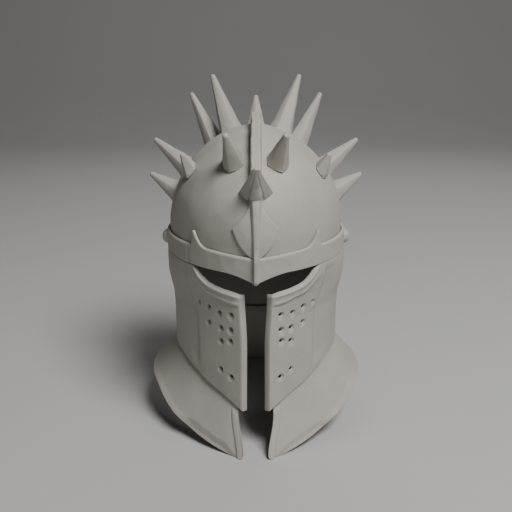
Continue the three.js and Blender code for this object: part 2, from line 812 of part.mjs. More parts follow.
add("skull", skullGeometry());
add("brow_plate", browGeometry(0));
add("temple_band", strapGeometry());
add("leaf_plate", geometryOf(solidOf(leafGeometry(0)).subtract(spikeSolid(frontSpike, 1, gap))));
add("front_rib", ribGeometry());
add("comb", combGeometry());
add("face_wall", wallGeometry());
add("neck_collar", collarGeometry());
for (const [label, side] of [["left", -1], ["right", 1]]) {
  add(`rivet_${label}`, rivetGeometry(side));
  for (const row of spikeRows) {
    add(`spike_${row.name}_${label}`, geometryOf(spikeSolid(row, side, 0).subtract(seat)));
  }
}
add("spike_front_middle", geometryOf(frontMiddle.subtract(seat)));
add("spike_rear_middle", geometryOf(rearMiddle.subtract(seat)));

// The origin is the middle of the base, so the whole is moved back by half of its uneven reach.
const box = new THREE.Box3().setFromObject(helmet);
helmet.position.set(0, -(box.min.y + box.max.y) / 2, -box.min.z);
helmet.updateMatrixWorld(true);

export default helmet;
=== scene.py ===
"""The looks of a spiked steel helmet: each piece is modelled finely over its construction solid.

Forms are worked out in millimetres in the design's own frame: x = 0 is the plane of symmetry, the
face looks along -y, z is up, and the middle of the skull is at y = 0. The frame's own y is shifted.
"""
import itertools
import math

import bmesh
import bpy
import numpy as np
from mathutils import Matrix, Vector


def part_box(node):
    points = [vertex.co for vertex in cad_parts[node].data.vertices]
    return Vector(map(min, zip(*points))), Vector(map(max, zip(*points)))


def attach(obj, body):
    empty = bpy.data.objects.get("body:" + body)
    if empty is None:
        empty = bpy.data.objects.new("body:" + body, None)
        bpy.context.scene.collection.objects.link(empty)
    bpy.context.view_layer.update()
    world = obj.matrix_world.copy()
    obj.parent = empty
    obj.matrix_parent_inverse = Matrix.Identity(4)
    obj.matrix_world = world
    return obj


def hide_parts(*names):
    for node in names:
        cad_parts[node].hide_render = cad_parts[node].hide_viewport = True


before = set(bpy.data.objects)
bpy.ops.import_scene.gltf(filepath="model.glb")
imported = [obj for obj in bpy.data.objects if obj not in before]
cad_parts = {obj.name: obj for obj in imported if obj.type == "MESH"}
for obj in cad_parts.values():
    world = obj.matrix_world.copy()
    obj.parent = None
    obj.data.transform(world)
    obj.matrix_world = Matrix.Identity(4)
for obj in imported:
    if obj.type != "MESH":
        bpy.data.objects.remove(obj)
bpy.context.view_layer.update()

MM = 0.001
RIVET_FORWARD = 10.0
rivet_low, rivet_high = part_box("rivet_left")
SHIFT_Y = (rivet_low.y + rivet_high.y) / 2 / MM + RIVET_FORWARD

# Plate and clearances
PLATE = 3.0
GAP = 0.35
WRAP_GAP = 0.5
SEAT_GAP = 0.1

# Skull
SKULL_HALF = 99.9
SKULL_FRONT = 123.5
SKULL_BACK = 110.0
DOME_RISE = 112.0
DOME_TAPER = 1.13
BROW_KEEL = 1.5
CROWN_KEEL = 2.0
SKULL_LAP = 9.0

# Brow band
BAND_LOW = 203.5
BAND_HIGH = BAND_LOW + 21.5
DOME_START = BAND_HIGH + 5.5
STRAP_THICK = 2.9
BROW_THICK = 3.2
BAND_ROUND_HIGH = 2.6
BAND_ROUND_LOW = 1.2
THORN_ROUND = 1.3
BROW_HALF = 71.5
NOSE_DROP = 9.6
NOSE_HALF = 34.0
NOSE_CURVE = 1.7
BROW_DIP = 3.6
BROW_DIP_HALF = 56.0
BROW_DIP_CURVE = 1.3
THORN_HEIGHT = 16.3
THORN_AT = 64.4
THORN_TIP_HALF = 0.6
THORN_INNER = 15.0
THORN_OUTER = 2.4
THORN_CURVE_INNER = 2.6
THORN_CURVE_OUTER = 0.8

# Eye slot, breath slit and cheeks
WALL_TOP = BAND_LOW - GAP
WALL_LAP = 0.8 + PLATE
EYE_HEIGHT = 24.2
EYE_CORNER = 0.665
LIP_WIDTH = 2.5
LIP_TURN = 2.0
WELT_WIDTH = 9.0
WELT_RISE = 2.2
WELT_FOOT = 3.0
WELT_HOLLOW = 0.9
WELT_WAVE = 4.0
WALL_TUCK = 0.6
PAD_FADE = 26.0
PAD_TURNS = (95, 110)
SLIT_TOP = 12.8
SLIT_MIDDLE = 10.3
SLIT_LOW = 10.7
SLIT_TURN_WIDTH = 4.8
SLIT_TURN_DEPTH = 7.0
CREASE_TURN_HIGH = 49.0
CREASE_TURN_LOW = 42.5
CREASE_DROP = 3.0
CREASE_RISE = 16.0
CREASE_DEPTH = 2.4
CREASE_CURVE = 1.3
HOLE_RADIUS = 3.5

# Neck collar
SEAM_HEIGHT = 93.0
COLLAR_LAP = 8.0
RIM = (125.0, 145.0, 118.0, 1.4)
RIM_ARCH = 54.0
RIM_ROLL = 1.6
RIM_ROLL_WIDTH = 7.0
RIM_FACET = 4.0
RIM_FACET_WIDTH = 11.0
COLLAR_EDGE_TOP = 19.3
COLLAR_EDGE_LOW = 13.6
COLLAR_CURVE = 1.15
COLLAR_WELT_WIDTH = 8.0
COLLAR_WELT_RISE = 1.8
COLLAR_TIP_ROUND = 4.5

# Comb, leaf plate, rib and rivets
COMB_WIDTH = 12.2
COMB_TOP = 10.2
COMB_HEIGHT = 13.0
COMB_FRONT = 51.7
COMB_BACK = 36.0
COMB_SWAY = 0.5
COMB_CHIP = 0.55
LEAF_TOP = 58.0
LEAF_HALF = 24.0
LEAF_THICK = 1.8
RIB_TOP = 58.0
RIB_WIDTH_TOP = 12.5
RIB_WIDTH_LOW = 7.0
RIB_HEIGHT = 5.0
RIB_SWEEP = 1.8
RIB_SPREAD = 1.15
RIB_FLANK = 0.62
KNOB_SINK = 3.5
RIVET_RADIUS = 8.3
RIVET_RISE = 5.6

# Spikes
SPIKE_LENGTH = 81.4
SPIKE_WIDTH = 27.0
TIP_RADIUS = 2.6
FLARE = 0.18
GROOVE_DEPTH = 0.16
GROOVE_WIDTH = 11.0
GROOVE_TWIST = 18.0

# Camera: its place seen from the middle of the design, and the shift that centres the helmet
IMAGE_SIZE = 512
LENS = 50
SENSOR = 36
CAMERA_TILT = 17
CAMERA_BACK = 809.44
CAMERA_HEIGHT = 433.79
CAMERA_SHIFT = 0.15

# Lights: place and width in metres, power in watts
LIGHTS = {
    "key": {"place": (0.93, -1.2, 2.3), "size": 1.2, "power": 77},
    "back": {"place": (0.2, 1.6, 1.6), "size": 1.6, "power": 5},
}
LIGHTS_AIM = (0, 0, 0.2)
WORLD_TONE = (1, 0.98, 0.95, 1)
WORLD_STRENGTH = 0.06
FLOOR_TONE = (0.5, 0.495, 0.485, 1)

# Steel: scales of its patterns in repeats per metre, and the ranges of tone and roughness
BROAD_SCALE = 22
SPECKLE_SCALE = 620
FINE_SCALE = 1500
MOTTLE = (0.95, 1.03)
# Painted shade: the share of its tone that hollows and creases are darkened to
PAINTED_HOLLOW_SHADE = 0.86
ROUGHNESS = (0.6, 0.72)

# Unevenness: depth and spacing of the hammer marks, depth and size of the lumps
UNEVEN = {
    "skull": {"dent": 0.6, "spacing": 30, "dent_seed": 3, "lump": 1.1, "size": 34, "lump_seed": 5},
    "brow": {"dent": 0.35, "spacing": 15, "dent_seed": 12, "lump": 0.4, "size": 13, "lump_seed": 11},
    "temple": {"dent": 0, "lump": 0.4, "size": 16, "lump_seed": 21},
    "leaf": {"dent": 0.2, "spacing": 14, "dent_seed": 32, "lump": 0.35, "size": 12, "lump_seed": 31},
    "wall": {"dent": 0.5, "spacing": 30, "dent_seed": 62, "lump": 0.5, "size": 34, "lump_seed": 61},
    "collar": {"dent": 0.4, "spacing": 28, "dent_seed": 72, "lump": 0.5, "size": 30, "lump_seed": 71},
}

# Sections of the face wall: fall is the share of the band's height, the rest shares of the reach
WALL = {
    "fall": (0.0, 0.05, 0.115, 0.15, 0.19, 0.23, 0.27, 0.455, 0.7, 1.0),
    "half": (1.0, 1.0, 0.998, 0.99, 0.976, 0.958, 0.944, 0.933, 0.95, 0.955),
    "front": (1.0, 1.0, 1.0, 1.0, 1.002, 1.004, 1.008, 1.016, 1.028, 1.035),
    "back": (1.0, 1.0, 0.992, 0.985, 0.98, 0.975, 0.97, 0.945, 0.915, 0.9),
    "keel": (1.5, 1.5, 1.36, 1.3, 1.26, 1.23, 1.2, 1.2, 1.2, 1.2),
}
# Lower edge of the eye slot
EYE = {
    "out": (0.09, 0.125, 0.225, 0.348, 0.485, 0.571, 0.626, EYE_CORNER),
    "drop": (1.1, 1.0, 0.874, 0.8, 0.643, 0.37, 0.1, 0.0),
}
# Seam between wall and collar, and the collar's lower rim, by the turn from the front in degrees
SEAM = {
    "turn": (4, 6.3, 8, 11, 20, 34, 45, 57, 75, 90, 120, 150, 180),
    "rise": (0.515, 0.51, 0.515, 0.55, 0.65, 0.755, 0.84, 0.915, 0.98, 1.02, 0.97, 0.87, 0.82),
}
LOW_RIM = {
    "turn": (4, 10, 18, 29, 38, 45, 53, 61, 66, 75, 90, 107, 122, 137, 150, 161, 168, 180),
    "rise": (0, 0, 0.06, 0.18, 0.3, 0.43, 0.57, 0.73, 0.83, 0.9, 0.92, 1.0, 0.99, 0.84, 0.45, 0.08, 0, 0),
}
# Leaf plate below and above its two corners
LEAF_LOW = {
    "rise": (0.0, 0.07, 0.145, 0.295, 0.456),
    "half": (0.24, 0.45, 0.63, 0.85, 1.0),
}
LEAF_HIGH = {
    "rise": (0.456, 0.52, 0.588, 0.727, 0.864, 1.0),
    "half": (1.0, 0.84, 0.69, 0.416, 0.29, 0.29),
}
# The rib's end on the front spike: reach along the spike, half width and rise over it
KNOB = {
    "reach": (-11.0, -5.0, 1.0, 7.0, 13.0, 19.0, 27.0, 36.0),
    "half": (5.0, 5.6, 6.2, 6.4, 5.6, 4.0, 2.8, 1.2),
    "rise": (1.2, 3.6, 5.0, 5.2, 3.8, 2.2, 1.4, 0.3),
}
# Breath holes of one cheek: shares of the wall's half width, of the way down from the band, of the size
HOLES = (
    (0.62, 0.213, 0.75), (0.515, 0.225, 1), (0.4, 0.242, 1), (0.27, 0.238, 1),
    (0.527, 0.314, 0.9), (0.392, 0.325, 1), (0.28, 0.322, 1),
    (0.393, 0.399, 1), (0.287, 0.385, 1), (0.398, 0.56, 0.9), (0.278, 0.588, 1),
)
# A breath hole's dish: shares of its radius, depths, and how far it lies off the middle
DISH = (
    (0.01, -9, 0.45), (0.55, -9, 0.45), (0.55, -2.8, 0.45), (0.64, -2.4, 0.4), (0.86, -1.7, 0.26),
    (1.06, -1.1, 0.12), (1.24, -0.7, 0.03), (1.42, -0.42, 0), (1.7, 0.1, 0), (1.7, 2, 0), (0.01, 2, 0),
)


def spike_row(polar, turn, lean_polar, lean_turn, long, wide, corners, facet,
              deep=None, groove=None, flare=FLARE):
    """A spike's foot and lean in degrees, its shares of length and width, and its section.

    corners are the turns of its section's corners: 0 is up the dome, 90 inwards, 180 down the dome.
    facet says how flat the faces between them are, groove is the turn of a groove along it.
    """
    return {
        "polar": polar, "turn": turn, "lean_polar": lean_polar, "lean_turn": lean_turn,
        "long": long, "wide": wide, "deep": deep or wide,
        "corners": np.radians(corners), "facet": facet, "groove": groove, "flare": flare,
    }


PAIRED_SPIKES = {
    "rear_inner": spike_row(29, 147, 35, 148.3, 1, 1.03, (10, 75, 140, 205, 265, 320), 0.5),
    "rear_outer": spike_row(
        46, 143, 35.4, 132.5, 0.98, 1.02, (0, 60, 125, 170, 235, 300), 0.6, groove=192,
    ),
    "side_upper": spike_row(
        60.5, 120, 57.4, 119, 0.788, 1.02, (0, 70, 130, 185, 240, 300), 0.5, flare=0.3,
    ),
    "side_lower": spike_row(74.8, 109, 62, 112, 0.535, 0.95, (0, 65, 120, 180, 240, 295), 0.5),
    "front_inner": spike_row(
        44.3, 17, 38.5, 18, 0.5, 0.92, (30, 110, 186, 285), 0.48, deep=0.96, flare=0.08,
    ),
    "front_outer": spike_row(51, 60.5, 28, 60.5, 0.272, 0.66, (0, 80, 150, 215, 290), 0.9, flare=0.1),
}
FRONT_SPIKE = spike_row(
    62, 0, 48, 0, 0.537, 1.148, (0, 90, 146, 180, 214, 270), 0.95, deep=0.64, flare=0.12,
)
REAR_SPIKE = spike_row(
    36, 180, 40, 180, 0.756, 1.02, (0, 60, 120, 180, 240, 300), 0.45, flare=0.6,
)


# Curves and noise
def along(table, key, name, at):
    """A smooth curve through one column of a table, with no overshoot between its rows."""
    xs = np.array(table[key], float)
    ys = np.array(table[name], float)
    steps = np.diff(ys) / np.diff(xs)
    before, after = steps[:-1], steps[1:]
    same = before * after > 0
    slopes = np.concatenate([steps[:1], np.zeros(len(ys) - 2), steps[-1:]])
    slopes[1:-1][same] = 2 * before[same] * after[same] / (before[same] + after[same])
    at = np.clip(np.asarray(at, float), xs[0], xs[-1])
    i = np.clip(np.searchsorted(xs, at, side="right") - 1, 0, len(xs) - 2)
    span = xs[i + 1] - xs[i]
    s = (at - xs[i]) / span
    rise = ys[i + 1] - ys[i]
    start, end = slopes[i] * span, slopes[i + 1] * span
    return ys[i] + s * (start + s * (3 * rise - 2 * start - end + s * (start + end - 2 * rise)))


def mix(a, b, share):
    return a + (b - a) * share


def ease(low, high, value):
    s = np.clip((value - low) / (high - low), 0, 1)
    return s * s * (3 - 2 * s)


def hashed(cells, seed):
    x, y, z = (cells[..., k].astype(np.int64) for k in range(3))
    n = (x * 374761393 + y * 668265263 + z * 1442695041 + seed * 1274126177) & 0xFFFFFFFF
    n = ((n ^ (n >> 13)) * 1274126177) & 0xFFFFFFFF
    return ((n ^ (n >> 16)) & 0xFFFF) / 65535.0


def noise(points, size, seed):
    """Smooth noise from 0 to 1 with lumps of one size."""
    scaled = points / size
    cell = np.floor(scaled)
    f = scaled - cell
    f = f * f * (3 - 2 * f)
    total = np.zeros(points.shape[:-1])
    for corner in itertools.product((0, 1), repeat=3):
        weight = np.prod(np.where(np.array(corner), f, 1 - f), axis=-1)
        total += weight * hashed(cell + corner, seed)
    return total


def hammered(points, spacing, seed):
    """Hammer marks: 1 in the middle of each, 0 along the soft ridges between them."""
    cell = np.floor(points / spacing)
    nearest = np.full(points.shape[:-1], np.inf)
    for step in itertools.product((-1, 0, 1), repeat=3):
        corner = cell + step
        jitter = np.stack([hashed(corner, seed + k) for k in range(3)], axis=-1)
        nearest = np.minimum(nearest, np.linalg.norm(points - (corner + jitter) * spacing, axis=-1))
    return np.clip(1 - (nearest / (0.62 * spacing)) ** 2, 0, 1)


def unevenness(name, points):
    """How far a piece's surface lies under its plain form."""
    row = UNEVEN[name]
    lumps = row["lump"] * noise(points, row["size"], row["lump_seed"])
    if not row["dent"]:
        return lumps
    return lumps + row["dent"] * hammered(points, row["spacing"], row["dent_seed"])


# Surfaces
def plan_point(section, turn, height, grow=0.0):
    """A point of a plan section. turn is 0 at the front and PI at the back; grow adds to each reach."""
    half, front, back, keel = section
    across = np.abs(np.sin(turn))
    y_front = -(front + grow) * np.sqrt(np.maximum(0, 1 - across ** keel))
    y_back = (back + grow) * np.abs(np.cos(turn))
    y = np.where(np.abs(turn) <= math.pi / 2, y_front, y_back)
    x = (half + grow) * np.sin(turn)
    return np.stack(np.broadcast_arrays(x, y, height), axis=-1).astype(float)


def skull_point(turn, latitude, below=0.0, grow=0.0):
    shrink = np.maximum(0, np.cos(latitude)) ** DOME_TAPER
    keel = mix(BROW_KEEL, CROWN_KEEL, np.minimum(1, latitude / (math.pi / 3)))
    reach = [(size + grow) * shrink for size in (SKULL_HALF, SKULL_FRONT, SKULL_BACK)]
    height = DOME_START + (DOME_RISE + grow) * np.sin(latitude) - below
    return plan_point((*reach, keel), turn, height)


def skull_at_height(turn, height, grow=0.0):
    over = (height - DOME_START) / (DOME_RISE + grow)
    latitude = np.arcsin(np.clip(over, 0, 1))
    return skull_point(turn, latitude, np.maximum(0, DOME_START - height), grow)


def skull_beside(x, height, grow=0.0):
    over = (height - DOME_START) / (DOME_RISE + grow)
    shrink = np.cos(np.arcsin(np.clip(over, 0, 1))) ** DOME_TAPER
    share = np.clip(x / np.maximum(1e-6, SKULL_HALF * shrink), -1, 1)
    return skull_at_height(np.arcsin(share), height, grow)


def in_skull(points, grow=0.0):
    x, y, z = (points[..., k] for k in range(3))
    over = (z - DOME_START) / (DOME_RISE + grow)
    shrink = np.maximum(1e-6, np.cos(np.arcsin(np.clip(over, 0, 1)))) ** DOME_TAPER
    half = (SKULL_HALF + grow) * shrink
    in_front = (np.abs(x) < half) & (y > skull_beside(x, z, grow)[..., 1])
    behind = np.hypot(x / half, y / ((SKULL_BACK + grow) * shrink)) < 1
    return (over < 1) & np.where(y < 0, in_front, behind)


def wall_section(height):
    fall = 1 - height / BAND_LOW
    reach = [
        along(WALL, "fall", name, fall) * (size + WALL_LAP)
        for name, size in (("half", SKULL_HALF), ("front", SKULL_FRONT), ("back", SKULL_BACK))
    ]
    return (*reach, along(WALL, "fall", "keel", fall))


def seam_at(turn):
    return SEAM_HEIGHT * along(SEAM, "turn", "rise", np.abs(np.degrees(turn)))


def rim_at(turn):
    return RIM_ARCH * along(LOW_RIM, "turn", "rise", np.abs(np.degrees(turn)))


def eye_edge_drop(turn):
    drop = EYE_HEIGHT * along(EYE, "out", "drop", np.abs(np.sin(turn)))
    return np.where(np.abs(turn) > math.pi / 2, 0, drop)


def eye_edge_at(turn):
    return WALL_TOP - eye_edge_drop(turn)


# Meshes
def quads(columns, rows, around=False):
    a, b = np.meshgrid(np.arange(columns if around else columns - 1), np.arange(rows - 1), indexing="ij")
    c = (a + 1) % columns
    corners = [a * rows + b, c * rows + b, c * rows + b + 1, a * rows + b + 1]
    return np.stack(corners, axis=-1).reshape(-1, 4)


def make_object(name, points, faces):
    """A closed mesh from points in design millimetres, with equal points merged."""
    placed = np.asarray(points, float).reshape(-1, 3) + (0, SHIFT_Y, 0)
    mesh = bpy.data.meshes.new(name)
    mesh.from_pydata((placed * MM).tolist(), [], faces)
    shape = bmesh.new()
    shape.from_mesh(mesh)
    bmesh.ops.remove_doubles(shape, verts=shape.verts, dist=2e-6)
    bmesh.ops.recalc_face_normals(shape, faces=shape.faces)
    shape.to_mesh(mesh)
    shape.free()
    piece = bpy.data.objects.new(name, mesh)
    bpy.context.scene.collection.objects.link(piece)
    return piece


def sheet(name, outer, inner, around=False, pole=False):
    """Plate between two grids of points, [column, row]. A sheet with a pole has no upper edge."""
    columns, rows = outer.shape[:2]
    n = columns * rows
    face = quads(columns, rows, around)
    faces = [face, face[:, ::-1] + n]
    index = np.arange(n).reshape(columns, rows)
    edges = [index[:, 0]] if pole else [index[:, 0], index[:, -1]]
    edges = [np.append(edge, edge[0]) if around else edge for edge in edges]
    if not around:
        edges += [index[0], index[-1]]
    for edge in edges:
        faces.append(np.stack([edge[:-1], edge[1:], edge[1:] + n, edge[:-1] + n], axis=-1))
    points = np.concatenate([outer.reshape(-1, 3), inner.reshape(-1, 3)])
    return make_object(name, points, np.concatenate(faces).tolist())


def tube(name, rings):
    """A closed body from rings of points, [station, point], closed by one face at each end."""
    stations, around = rings.shape[:2]
    faces = quads(around, stations, around=True)
    i, j = faces // stations, faces % stations
    faces = (j * around + i).tolist()
    faces.append(list(range(around)))
    faces.append(list(range((stations - 1) * around, stations * around)))
    return make_object(name, rings.reshape(-1, 3), faces)


def settle(piece):
    """Turns a piece's modifiers into its mesh."""
    graph = bpy.context.evaluated_depsgraph_get()
    mesh = bpy.data.meshes.new_from_object(piece.evaluated_get(graph))
    piece.modifiers.clear()
    piece.data = mesh
    return piece


def soften(piece, width, segments=3, angle=50):
    """Rounds a piece's sharp edges by a width in millimetres."""
    bevel = piece.modifiers.new("edges", "BEVEL")
    bevel.width = width * MM
    bevel.segments = segments
    bevel.limit_method = "ANGLE"
    bevel.angle_limit = math.radians(angle)
    bevel.miter_outer = "MITER_ARC"
    return settle(piece)


def cut(piece, *tools):
    """Cuts tools out of a piece and removes them."""
    for tool in tools:
        boolean = piece.modifiers.new("cut", "BOOLEAN")
        boolean.operation = "DIFFERENCE"
        boolean.solver = "MANIFOLD"
        boolean.object = tool
    settle(piece)
    for tool in tools:
        bpy.data.objects.remove(tool)
    return piece


def join(piece, part):
    """Joins a part to a piece as one solid and removes it."""
    boolean = piece.modifiers.new("join", "BOOLEAN")
    boolean.operation = "UNION"
    boolean.solver = "MANIFOLD"
    boolean.object = part
    settle(piece)
    bpy.data.objects.remove(part)


# Pieces
def make_skull():
    count, rows, skirt = 320, 97, 6
    turns = np.radians(np.arange(count) * 360 / count - 180)[:, None]
    side = ease(EYE_CORNER + 0.03, EYE_CORNER + 0.13, np.abs(np.sin(turns)))
    side = np.where(np.abs(turns) > math.pi / 2, 1, side)
    edge = mix(BAND_LOW + 2.5, BAND_LOW - SKULL_LAP, side)
    below = (DOME_START - edge) * np.append(1 - np.arange(skirt) / skirt, np.zeros(rows))
    latitude = np.append(np.zeros(skirt), np.radians(np.linspace(0, 90, rows)))[None, :]
    base = skull_point(turns, latitude, below)
    fade = ease(0, 0.2, np.cos(latitude))
    relief = -fade * unevenness("skull", base)
    outer = skull_point(turns, latitude, below, relief)
    inner = skull_point(turns, latitude, below, -PLATE)
    return sheet("fine_skull", outer, inner, around=True, pole=True)


def brow_low(x):
    return BAND_LOW - NOSE_DROP * np.maximum(0, 1 - np.abs(x) / NOSE_HALF) ** NOSE_CURVE


def brow_dip(x):
    """How far the band's upper edge falls towards the nose."""
    return BROW_DIP * np.maximum(0, 1 - np.abs(x) / BROW_DIP_HALF) ** BROW_DIP_CURVE


def brow_high(x):
    past = np.abs(x) - THORN_AT
    reach = np.where(past < 0, THORN_INNER, THORN_OUTER)
    rise = np.clip(1 - (np.abs(past) - THORN_TIP_HALF) / reach, 0, 1)
    curve = np.where(past < 0, THORN_CURVE_INNER, THORN_CURVE_OUTER)
    return BAND_HIGH - brow_dip(x) + THORN_HEIGHT * rise ** curve


def rounded(depth, radius):
    """How far a rounded edge falls back at a depth from the edge."""
    near = np.clip(1 - depth / radius, 0, 1)
    return radius * (1 - np.sqrt(1 - near ** 2))


def crowded(count):
    """Shares from 0 to 1 that lie closer together at both ends."""
    return (1 - np.cos(np.linspace(0, math.pi, count))) / 2


def make_brow_plate():
    half = np.concatenate([
        np.linspace(0, THORN_AT - THORN_INNER, 80),
        np.linspace(THORN_AT - THORN_INNER, THORN_AT - THORN_TIP_HALF, 46)[1:],
        np.linspace(THORN_AT - THORN_TIP_HALF, THORN_AT + THORN_TIP_HALF, 5)[1:],
        np.linspace(THORN_AT + THORN_TIP_HALF, THORN_AT + THORN_OUTER, 12)[1:],
        np.linspace(THORN_AT + THORN_OUTER, BROW_HALF, 6)[1:],
    ])
    x = np.concatenate([-half[:0:-1], half])[:, None]
    rise = crowded(41)[None, :]
    low, high = brow_low(x), brow_high(x)
    height = mix(low, high, rise)
    slope = np.gradient(high[:, 0], x[:, 0])[:, None]
    from_top = (high - height) / np.hypot(1, slope)
    from_low = height - low
    top_round = mix(BAND_ROUND_HIGH, THORN_ROUND, ease(44, 54, np.abs(x)))
    lift = -rounded(from_top, top_round) - rounded(from_low, BAND_ROUND_LOW)
    lift = lift - 0.25 * (1 - ease(0, 3, BROW_HALF - np.abs(x)))
    base = skull_beside(x, height, WRAP_GAP + BROW_THICK)
    lift = lift - unevenness("brow", base)
    thick = np.maximum(0.3, WRAP_GAP + BROW_THICK + lift - SEAT_GAP)
    outer = skull_beside(x, height, SEAT_GAP + thick)
    inner = skull_beside(x, height, SEAT_GAP)
    return soften(sheet("fine_brow_plate", outer, inner), 0.25, segments=2)


def make_temple_band():
    start = math.asin(BROW_HALF / SKULL_HALF) + SEAT_GAP / SKULL_HALF
    turns = np.linspace(start, 2 * math.pi - start, 260)[:, None]
    turns = np.where(turns > math.pi, turns - 2 * math.pi, turns)
    rise = crowded(33)[None, :]
    height = mix(BAND_LOW, BAND_HIGH, rise)
    base = skull_at_height(turns, height, WRAP_GAP + STRAP_THICK)
    lift = -rounded(BAND_HIGH - height, BAND_ROUND_HIGH) - rounded(height - BAND_LOW, BAND_ROUND_LOW)
    lift = lift - unevenness("temple", base)
    thick = np.maximum(0.3, WRAP_GAP + STRAP_THICK + lift - SEAT_GAP)
    outer = skull_at_height(turns, height, SEAT_GAP + thick)
    inner = skull_at_height(turns, height, SEAT_GAP)
    return soften(sheet("fine_temple_band", outer, inner), 0.14, segments=2)


def leaf_half(rise):
    low = along(LEAF_LOW, "rise", "half", rise)
    high = along(LEAF_HIGH, "rise", "half", rise)
    return LEAF_HALF * np.where(rise < LEAF_LOW["rise"][-1], low, high)


def make_leaf_plate():
    share = np.linspace(-1, 1, 61)[:, None]
    corner = LEAF_LOW["rise"][-1]
    rise = np.concatenate([np.linspace(0, corner, 50), np.linspace(corner, 1, 58)[1:]])[None, :]
    x = share * leaf_half(rise)
    height = mix(BAND_HIGH + GAP - brow_dip(x), BAND_HIGH + LEAF_TOP, rise)
    from_side = leaf_half(rise) - np.abs(x)
    lift = -0.5 * (1 - ease(0, 1.6, from_side))
    base = skull_beside(x, height, WRAP_GAP + LEAF_THICK)
    lift = lift - unevenness("leaf", base)
    outer = skull_beside(x, height, WRAP_GAP + LEAF_THICK + lift)
    inner = skull_beside(x, height, SEAT_GAP)
    leaf = soften(sheet("fine_leaf_plate", outer, inner), 0.3, segments=2)
    return cut(leaf, spike_body("leaf_tool", FRONT_SPIKE, 1, GAP, sunk=True))


def make_front_rib():
    stations = 150
    share = np.linspace(0, 1, stations)[:, None]
    height = mix(float(brow_low(0)) + GAP, BAND_HIGH + RIB_TOP, share)
    width = mix(RIB_WIDTH_LOW, RIB_WIDTH_TOP, np.maximum(0, 2 * share - 1) ** 1.5)
    on_brow = ease(BAND_HIGH + 8, BAND_HIGH - BROW_DIP - 2, height)
    width = width * mix(RIB_SPREAD, 1, on_brow) * ease(-0.35, 0.09, share)
    seat = mix(WRAP_GAP + LEAF_THICK - 0.2, WRAP_GAP + BROW_THICK - 0.3, on_brow)
    rise = (GAP + BROW_THICK * on_brow + RIB_HEIGHT - seat) * ease(-0.06, 0.05, share)
    rise = rise + RIB_SWEEP * np.clip((share - 0.6) / 0.3, 0, 1) ** 2
    across = np.linspace(-1, 1, 33)[None, :]
    flank = np.clip((1 - np.abs(across)) / RIB_FLANK, 0, 1)
    crest = mix(flank, np.sin(flank * math.pi / 2), 0.6)
    foot = skull_beside(across * width / 2, height, seat)
    wobble = 1 + 0.2 * (noise(foot, 9, 41) - 0.5)
    upper = skull_beside(across * width / 2, height, seat + rise * crest * wobble)
    rings = np.concatenate([upper, foot[:, 1:-1][:, ::-1]], axis=1)
    above_nose = brow_low(rings[..., 0]) - rings[..., 2]
    rings[..., 2] += np.maximum(0, above_nose + 0.15)
    rib = tube("fine_front_rib", rings)
    join(rib, make_knob())
    return cut(rib, spike_body("rib_tool", FRONT_SPIKE, 1, GAP / 2, sunk=True))


def make_knob():
    """The rib's end, which climbs the underside of the front spike and closes in a rounded point."""
    lean = direction(FRONT_SPIKE["lean_polar"], 0)
    down = np.cross((1, 0, 0), lean)
    down *= -np.sign(down[2])
    foot = foot_on(FRONT_SPIKE["polar"], 0)
    reach = np.linspace(KNOB["reach"][0], KNOB["reach"][-1], 48)
    ridge = spike_radius(FRONT_SPIKE, reach, 0.0) * FRONT_SPIKE["deep"] / FRONT_SPIKE["wide"]
    half = along(KNOB, "reach", "half", reach)[:, None]
    rise = along(KNOB, "reach", "rise", reach)[:, None]
    turn = np.linspace(0, 2 * math.pi, 40, endpoint=False)[None, :]
    upper, lower = np.maximum(0, np.sin(turn)), np.minimum(0, np.sin(turn))
    out = rise * upper ** 0.8 + KNOB_SINK * lower
    centre = foot + reach[:, None] * lean + ridge[:, None] * down
    rings = centre[:, None, :] + out[..., None] * down
    rings[..., 0] = half * np.cos(turn)
    rings += 0.35 * (noise(rings, 6, 47) - 0.5)[..., None] * down
    return tube("knob", rings)


def comb_section():
    """The comb's cross section from one foot over its top to the other: across and up, in shares."""
    corner = 0.16
    turn = np.linspace(0, math.pi / 2, 9)
    side = np.linspace(0, 1 - corner, 14)[:-1]
    right = [(mix(1, COMB_TOP / COMB_WIDTH, s), s) for s in side]
    edge = COMB_TOP / COMB_WIDTH
    right += [(edge - 0.2 * (1 - math.cos(t)), 1 - corner * (1 - math.sin(t))) for t in turn]
    top = [(x, 1.0) for x in np.linspace(edge - 0.2, 0, 7)[1:]]
    half = right + top
    return np.array(half + [(-x, up) for x, up in half[-2::-1]])


def make_comb():
    polar = np.radians(np.linspace(COMB_FRONT, -COMB_BACK, 200))[:, None]
    turn = np.where(polar > 0, 0.0, math.pi)
    foot = skull_point(turn, math.pi / 2 - np.abs(polar))
    out = skull_point(turn, math.pi / 2 - np.abs(polar), 0, 1.0) - foot
    out /= np.linalg.norm(out, axis=-1, keepdims=True)
    section = comb_section()
    line = foot + np.zeros((1, len(section), 1))
    sway = COMB_SWAY * (noise(line, 14, 51) + noise(line, 6, 52) - 1)
    uneven = COMB_HEIGHT * (1 + 0.06 * (noise(foot, 16, 53) - 1) + 0.03 * (noise(foot, 5, 54) - 1))
    points = line + out * (section[None, :, 1] * uneven)[..., None] + out * SEAT_GAP
    chip = COMB_CHIP * (noise(points, 5, 55) - 0.5) * ease(0.5, 1, section[None, :, 1])
    points[..., 0] = section[None, :, 0] * COMB_WIDTH / 2 + sway * section[None, :, 1] + chip
    comb = tube("fine_comb", points)
    tools = [
        spike_body("comb_front_tool", FRONT_SPIKE, 1, GAP / 2, sunk=True),
        spike_body("comb_rear_tool", REAR_SPIKE, 1, GAP / 2, sunk=True),
    ]
    return cut(comb, *tools)


